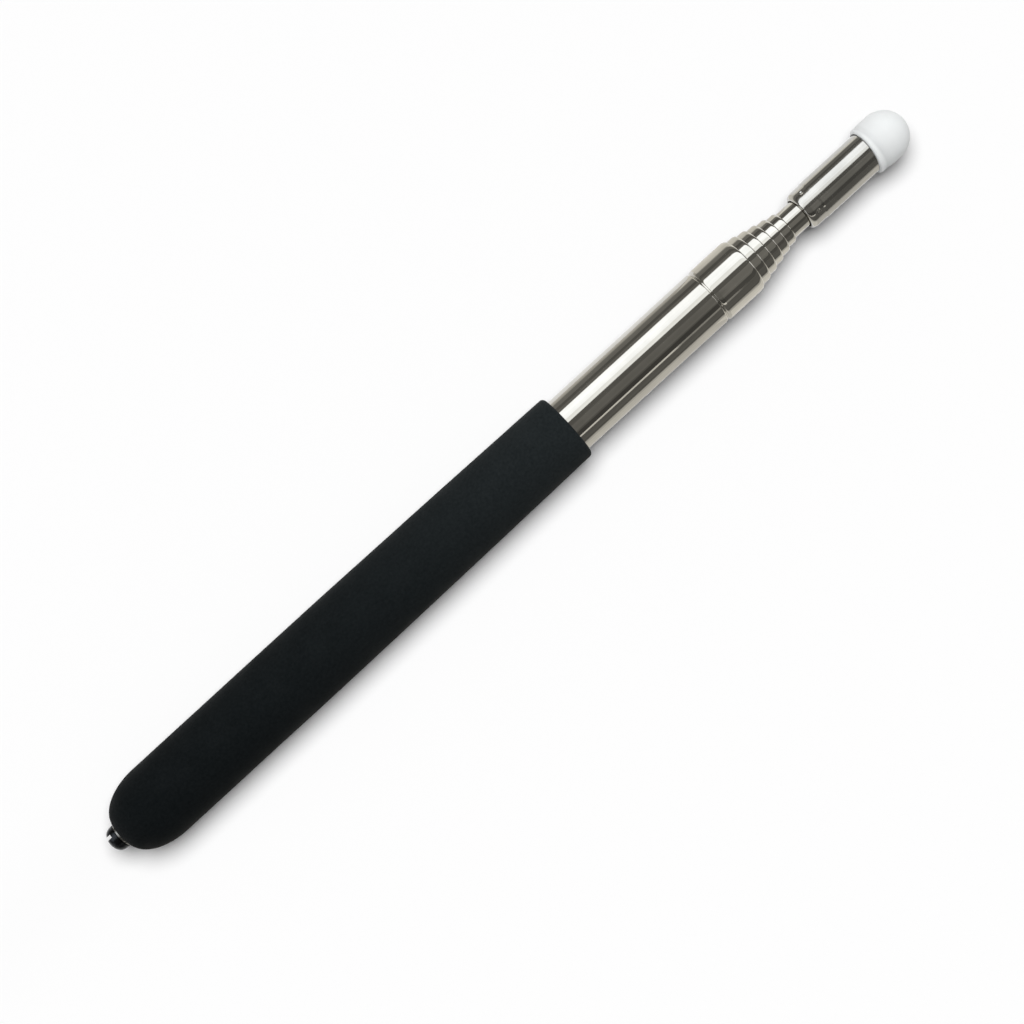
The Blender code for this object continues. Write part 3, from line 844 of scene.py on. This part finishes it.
start = HOLDER_START
end = HOLDER_START + HOLDER_LENGTH
turned_end = start + TURNED_IN[0]
rim = arc((turned_end, CRIMPED_RADIUS - TURNED_IN[1]), TURNED_IN, -90, 0, TURNED_IN_STEPS)
count = round((CRIMP_END - TURNED_IN[0]) / CRIMP_RINGS)
crimp = [(turned_end + i * CRIMP_RINGS, CRIMPED_RADIUS) for i in range(1, count)]
crimp += [(start + CRIMP_END, CRIMPED_RADIUS), (start + CRIMP_END + CRIMP_RAMP, HOLDER_RADIUS)]
inside = [(end, HOLDER_RADIUS), (end, HOLDER_BORE), (start + HOLDER_WALL, HOLDER_BORE)]
inside += [(start + HOLDER_WALL, HOLDER_HOLE), (start, HOLDER_HOLE)]
holder = draw_outline("crimped_tip_holder", held(rim + crimp + inside))
round_corners(holder, crimp[-2:], CRIMP_EDGE, steps=3)
round_corners(holder, [inside[-1]], HOLDER_HOLE_EDGE, steps=2)
spin_round(holder, steps=HOLDER_STEPS)
bpy.ops.object.mode_set(mode="EDIT")
for number in range(DIMPLES):
    around = math.radians(DIMPLE_FIRST - number * 360 / DIMPLES)
    outwards = Vector((0.0, math.sin(around), math.cos(around)))
    middle = at(start + DIMPLE_PLACE, 0.0) + outwards * CRIMPED_RADIUS * MM
    bpy.ops.mesh.select_all(action="DESELECT")
    mesh = bmesh.from_edit_mesh(holder.data)
    min(mesh.verts, key=lambda v: (v.co - middle).length).select_set(True)
    bmesh.update_edit_mesh(holder.data)
    bpy.ops.transform.translate(
        value=outwards * -DIMPLE_DEPTH * MM,
        use_proportional_edit=True,
        use_proportional_connected=True,
        proportional_edit_falloff="SMOOTH",
        proportional_size=DIMPLE_REACH * MM,
    )
bpy.ops.object.mode_set(mode="OBJECT")
finish_piece(holder, holder_steel, "stage_7", "polished_steel", "tip_holder")

# %% [markdown]
# The cap is a soft rubber dome pulled over the open end of the holder. Its lip is a bevelled hem with a
# soft crease above it, and it has not been pulled on quite straight. Half a ball on a cylinder would miss
# the hem, so the whole outline is drawn. It starts on the axis at the end of the dome and ends on it
# inside, so the spin closes both poles. The hem's rings are then turned a little.

# %% Soft cap
CAP_LENGTH = 9.4
CAP_RADIUS = 5.18
CAP_BORE = 4.35
CAP_SEAT = 4.6
CAP_DOME = 5.1
CAP_DOME_STEPS = 26
CAP_SMOOTH = 50
HEM_LENGTH = 1.15
HEM_RADIUS = 5.06
CREASE_RADIUS = 4.95
HEM_TURN = math.radians(5.0)
# from the open edge, and from the axis
CAP_SIDE = (
    (2.7, CAP_RADIUS),
    (1.9, CAP_RADIUS - 0.03),
    (1.45, CAP_RADIUS - 0.1),
    (HEM_LENGTH, CREASE_RADIUS),
    (HEM_LENGTH - 0.2, HEM_RADIUS - 0.02),
    (0.7, HEM_RADIUS),
    (0.35, HEM_RADIUS - 0.1),
    (0.1, CAP_BORE + 0.3),
    (0.0, CAP_BORE + 0.06),
    (0.03, CAP_BORE),
    (CAP_SEAT, CAP_BORE),
    (CAP_SEAT, 0.0),
)

dome_start = CAP_START + CAP_LENGTH - CAP_DOME
dome = arc((dome_start, 0.0), (CAP_DOME, CAP_RADIUS), 90, 0, CAP_DOME_STEPS)
dome[0] = (CAP_START + CAP_LENGTH, 0.0)
points = dome + [(CAP_START + along, out) for along, out in CAP_SIDE]
cap = draw_outline("soft_dome_cap", points, closed=False)
spin_round(cap, smooth=CAP_SMOOTH)
bpy.ops.object.mode_set(mode="EDIT")
mesh = bmesh.from_edit_mesh(cap.data)
hem_end = at(CAP_START + HEM_LENGTH, 0.0)
bpy.ops.mesh.select_all(action="DESELECT")
for vertex in mesh.verts:
    vertex.select_set(vertex.co.x < hem_end.x)
bmesh.update_edit_mesh(cap.data)
hinge = hem_end + Vector((0.0, CAP_RADIUS * MM, 0.0))
bpy.ops.transform.rotate(value=HEM_TURN, orient_axis="Z", center_override=hinge)
bpy.ops.object.mode_set(mode="OBJECT")
print("hem reaches", round((min(v.co.x for v in cap.data.vertices) - SEAT_X) / MM, 2))
finish_piece(cap, white_rubber, "stage_7", "white_rubber", "tip_cap")

# %% [markdown]
# The grip is a sleeve of closed-cell foam. Its butt is a full dome with a small flat seat for the washer,
# it runs straight for some way and then grows slimmer towards a soft front edge. Foam this firm holds its
# round shape, so a cloth simulation isn't needed, but foam is never quite true. The outline gets many
# rings, and a slight displacement by a cloud texture, applied to the mesh, makes the skin a little uneven.

# %% Foam grip
GRIP_BORE = 6.08
GRIP_RADIUS = 7.92
GRIP_FRONT = 7.28
GRIP_DOME = 9.6
GRIP_TAPER = 45.0
GRIP_EDGE = 0.8
GRIP_SEAT = 2.6
GRIP_END_WALL = 3.0
SCREW_HOLE = 1.58
TAPER_POWER = 1.5
DOME_RINGS = 22
STRAIGHT_RINGS = 24
TAPER_RINGS = 48
EDGE_RINGS = 8
GRIP_STEPS = 160
GRIP_SMOOTH = 55
UNEVEN = 0.03
CLOUD_SIZE = 14.0

dome = arc((GRIP_DOME, GRIP_SEAT), (GRIP_DOME, GRIP_RADIUS - GRIP_SEAT), -90, 0, DOME_RINGS)
straight_length = GRIP_TAPER - GRIP_DOME
taper_length = GRIP_LENGTH - GRIP_EDGE - GRIP_TAPER
straight, taper = [], []
for i in range(1, STRAIGHT_RINGS + 1):
    straight.append((GRIP_DOME + straight_length * i / STRAIGHT_RINGS, GRIP_RADIUS))
for i in range(1, TAPER_RINGS + 1):
    narrowing = (GRIP_RADIUS - GRIP_FRONT) * (i / TAPER_RINGS) ** TAPER_POWER
    taper.append((GRIP_TAPER + taper_length * i / TAPER_RINGS, GRIP_RADIUS - narrowing))
edge_middle = (GRIP_LENGTH - GRIP_EDGE, GRIP_FRONT - GRIP_EDGE)
front = arc(edge_middle, (GRIP_EDGE, GRIP_EDGE), 0, 90, EDGE_RINGS)[1:]
bore = [(GRIP_LENGTH, GRIP_BORE), (GRIP_END_WALL, GRIP_BORE), (GRIP_END_WALL, SCREW_HOLE), (0.0, SCREW_HOLE)]
grip = draw_outline("foam_grip", dome + straight + taper + front + bore)
spin_round(grip, steps=GRIP_STEPS, smooth=GRIP_SMOOTH)
clouds = bpy.data.textures.new("foam_clouds", "CLOUDS")
clouds.noise_scale = CLOUD_SIZE * MM
uneven = grip.modifiers.new("uneven", "DISPLACE")
uneven.texture = clouds
uneven.strength = 2 * UNEVEN * MM
bpy.ops.object.modifier_apply(modifier="uneven")
finish_piece(grip, black_foam, "handle", "grip_foam", "grip")

# %% [markdown]
# The screw in the butt has a tall round head, and its slot stands upright to one side of the middle. The
# round blank is spun, and the slot is cut with a Boolean by an upright block, because an inset could not
# run out through the round edge. A narrow bevel then breaks the edges, so they catch the light.

# %% Slotted screw
HEAD_TOP = -0.6
HEAD_END = -3.0
HEAD_RADIUS = 2.6
HEAD_ROUND = 1.9
HEAD_ROUND_STEPS = 12
HEAD_CROWN = 0.12
CROWN_SIDE = (0.75, 0.5)
SHANK_RADIUS = 1.5
SHANK_END = 10.2
SLOT_WIDTH = 0.7
SLOT_DEPTH = 1.5
SLOT_OFFSET = 1.2
BLOCK_MARGIN = 1.0
BLOCK_HEIGHT = 8.0
BROKEN_EDGE = 0.05
BROKEN_ANGLE = math.radians(50)
SCREW_SMOOTH = math.radians(35)
SMALL_STEPS = 96

corner_middle = (HEAD_END + HEAD_ROUND, HEAD_RADIUS - HEAD_ROUND)
points = [(HEAD_END - HEAD_CROWN, 0.0), (HEAD_END - CROWN_SIDE[0] * HEAD_CROWN, CROWN_SIDE[1])]
points += arc(corner_middle, (HEAD_ROUND, HEAD_ROUND), -90, 0, HEAD_ROUND_STEPS)
points += [(HEAD_TOP, HEAD_RADIUS), (HEAD_TOP, SHANK_RADIUS), (SHANK_END, SHANK_RADIUS), (SHANK_END, 0.0)]
screw = draw_outline("slotted_end_screw", points, closed=False)
spin_round(screw, steps=SMALL_STEPS)

bpy.ops.object.select_all(action="DESELECT")
bpy.ops.mesh.primitive_cube_add(size=1.0, location=at(HEAD_END + (SLOT_DEPTH - BLOCK_MARGIN) / 2, 0.0))
slot_block = bpy.context.object
slot_block.location.y = SLOT_OFFSET * MM
slot_block.scale = ((SLOT_DEPTH + BLOCK_MARGIN) * MM, SLOT_WIDTH * MM, BLOCK_HEIGHT * MM)
slot_cut = screw.modifiers.new("slot", "BOOLEAN")
slot_cut.operation = "DIFFERENCE"
slot_cut.solver = "EXACT"
slot_cut.object = slot_block
broken = screw.modifiers.new("broken_edges", "BEVEL")
broken.width = BROKEN_EDGE * MM
broken.segments = 2
broken.limit_method = "ANGLE"
broken.angle_limit = BROKEN_ANGLE
bpy.context.view_layer.objects.active = screw
screw.select_set(True)
bpy.ops.object.modifier_apply(modifier="slot")
bpy.ops.object.modifier_apply(modifier="broken_edges")
bpy.data.objects.remove(slot_block)
bpy.ops.object.select_all(action="DESELECT")
screw.select_set(True)
bpy.ops.object.shade_smooth_by_angle(angle=SCREW_SMOOTH)
print(f"{screw.name}: {len(screw.data.vertices)} vertices with its slot")
finish_piece(screw, dark_steel, "handle", "dark_steel", "end_screw")

# %% [markdown]
# A thin washer lies between the head of the screw and the foam, and shows as a light line there. It could
# be a flattened ring, but as a spun section its edges are rounded like those of a stamped washer.

# %% Washer
WASHER_BACK = -0.5
WASHER_FRONT = -0.1
WASHER_RADIUS = 2.5
WASHER_EDGE = 0.06

ring = [(WASHER_BACK, SCREW_HOLE), (WASHER_BACK, WASHER_RADIUS)]
ring += [(WASHER_FRONT, WASHER_RADIUS), (WASHER_FRONT, SCREW_HOLE)]
washer = draw_outline("thin_washer", ring)
round_corners(washer, ring, WASHER_EDGE, steps=2)
spin_round(washer, steps=SMALL_STEPS)
finish_piece(washer, washer_steel, "handle", "plain_steel", "end_washer")

# %% [markdown]
# The pieces inside keep their CAD shapes, because they are plain turned parts that are hidden until the
# pointer is taken apart. They still get finishes: brass for the plug and the two bushes, and spring
# bronze for the sleeves.

# %% Inner CAD pieces
for name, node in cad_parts.items():
    if node.hide_render:
        continue
    node.data.materials.clear()
    node.data.materials.append(bronze if "sleeve" in name else brass)
    print(name, "gets", node.data.materials[0].name)
